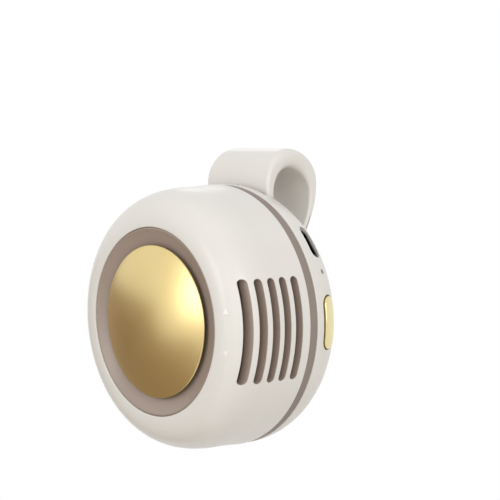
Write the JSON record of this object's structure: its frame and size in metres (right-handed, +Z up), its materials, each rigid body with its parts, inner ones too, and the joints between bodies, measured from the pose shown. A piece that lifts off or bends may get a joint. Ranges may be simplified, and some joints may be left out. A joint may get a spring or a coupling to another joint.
{
  "type": "clip-on fan",
  "caption": "Round clip-on fan: air drawn through side slots leaves around a gold dome, with a sprung belt clip on the back.",
  "frame": {"origin": "on the fan axis, on the inner grip face of the clip's tongue", "axes": "+Z up along the clip, +Y out of the back along the fan axis, +X to the side with the button and the charging socket"},
  "size_m": [0.0703, 0.0515, 0.0796],
  "materials": {
    "shell_cream": "satin moulded ABS",
    "trim_taupe": "matte moulded ABS",
    "gold": "gold anodised, satin",
    "steel": "plain steel",
    "copper_wire": "enamelled copper",
    "magnet": "bonded ferrite",
    "dark_plastic": "black moulded plastic",
    "circuit_board": "green solder mask",
    "battery_foil": "pouch foil",
    "foam": "adhesive foam",
    "wire_insulation": "PVC insulation",
    "clear_plastic": "clear polycarbonate"
  },
  "bodies": {
    "housing": {"front_shell": "shell_cream", "rear_shell": "shell_cream", "grille_insert_right": "trim_taupe", "grille_insert_left": "trim_taupe", "nozzle": "trim_taupe", "middle_frame": "trim_taupe", "dome_cap": "gold", "nozzle_screw_1": "steel", "nozzle_screw_2": "steel", "nozzle_screw_3": "steel", "frame_screw_1": "steel", "frame_screw_2": "steel", "frame_screw_3": "steel", "motor_screw_1": "steel", "motor_screw_2": "steel", "motor_screw_3": "steel", "board_screw_1": "steel", "board_screw_2": "steel", "board_screw_3": "steel", "motor_base": "steel", "bearing_front": "steel", "bearing_rear": "steel", "stator_core": "steel", "clip_pin": "steel", "clip_spring": "steel", "usb_shell": "steel", "stator_windings": "copper_wire", "battery_connector": "dark_plastic", "motor_connector": "dark_plastic", "usb_tongue": "dark_plastic", "tact_switch": "dark_plastic", "main_board": "circuit_board", "battery_cell": "battery_foil", "battery_pad": "foam", "battery_leads": "wire_insulation", "motor_leads": "wire_insulation", "indicator_led": "clear_plastic", "light_pipe": "clear_plastic"},
    "rotor": {"impeller": "dark_plastic", "rotor_bell": "steel", "magnet_ring": "magnet", "motor_shaft": "steel", "shaft_retaining_ring": "steel"},
    "button": {"power_button": "gold", "switch_plunger": "dark_plastic"},
    "clip": {"clip": "shell_cream"}
  },
  "joints": [
    {"name": "impeller_spin", "type": "hinge", "parent": "housing", "child": "rotor", "pos_m": [0, 0, 0], "axis": [0, 1, 0], "continuous": true},
    {"name": "button_press", "type": "slide", "parent": "housing", "child": "button", "axis": [-1, 0, 0], "range_m": [0, 0.0005], "stiffness_N_per_m": 2500, "springref_m": -0.0002},
    {"name": "clip_open", "type": "hinge", "parent": "housing", "child": "clip", "pos_m": [0, -0.00895, 0.02717], "axis": [1, 0, 0], "range_deg": [0, 10], "stiffness_Nm_per_rad": 0.15, "springref_deg": -20.05, "deforming": ["clip_spring"]}
  ]
}
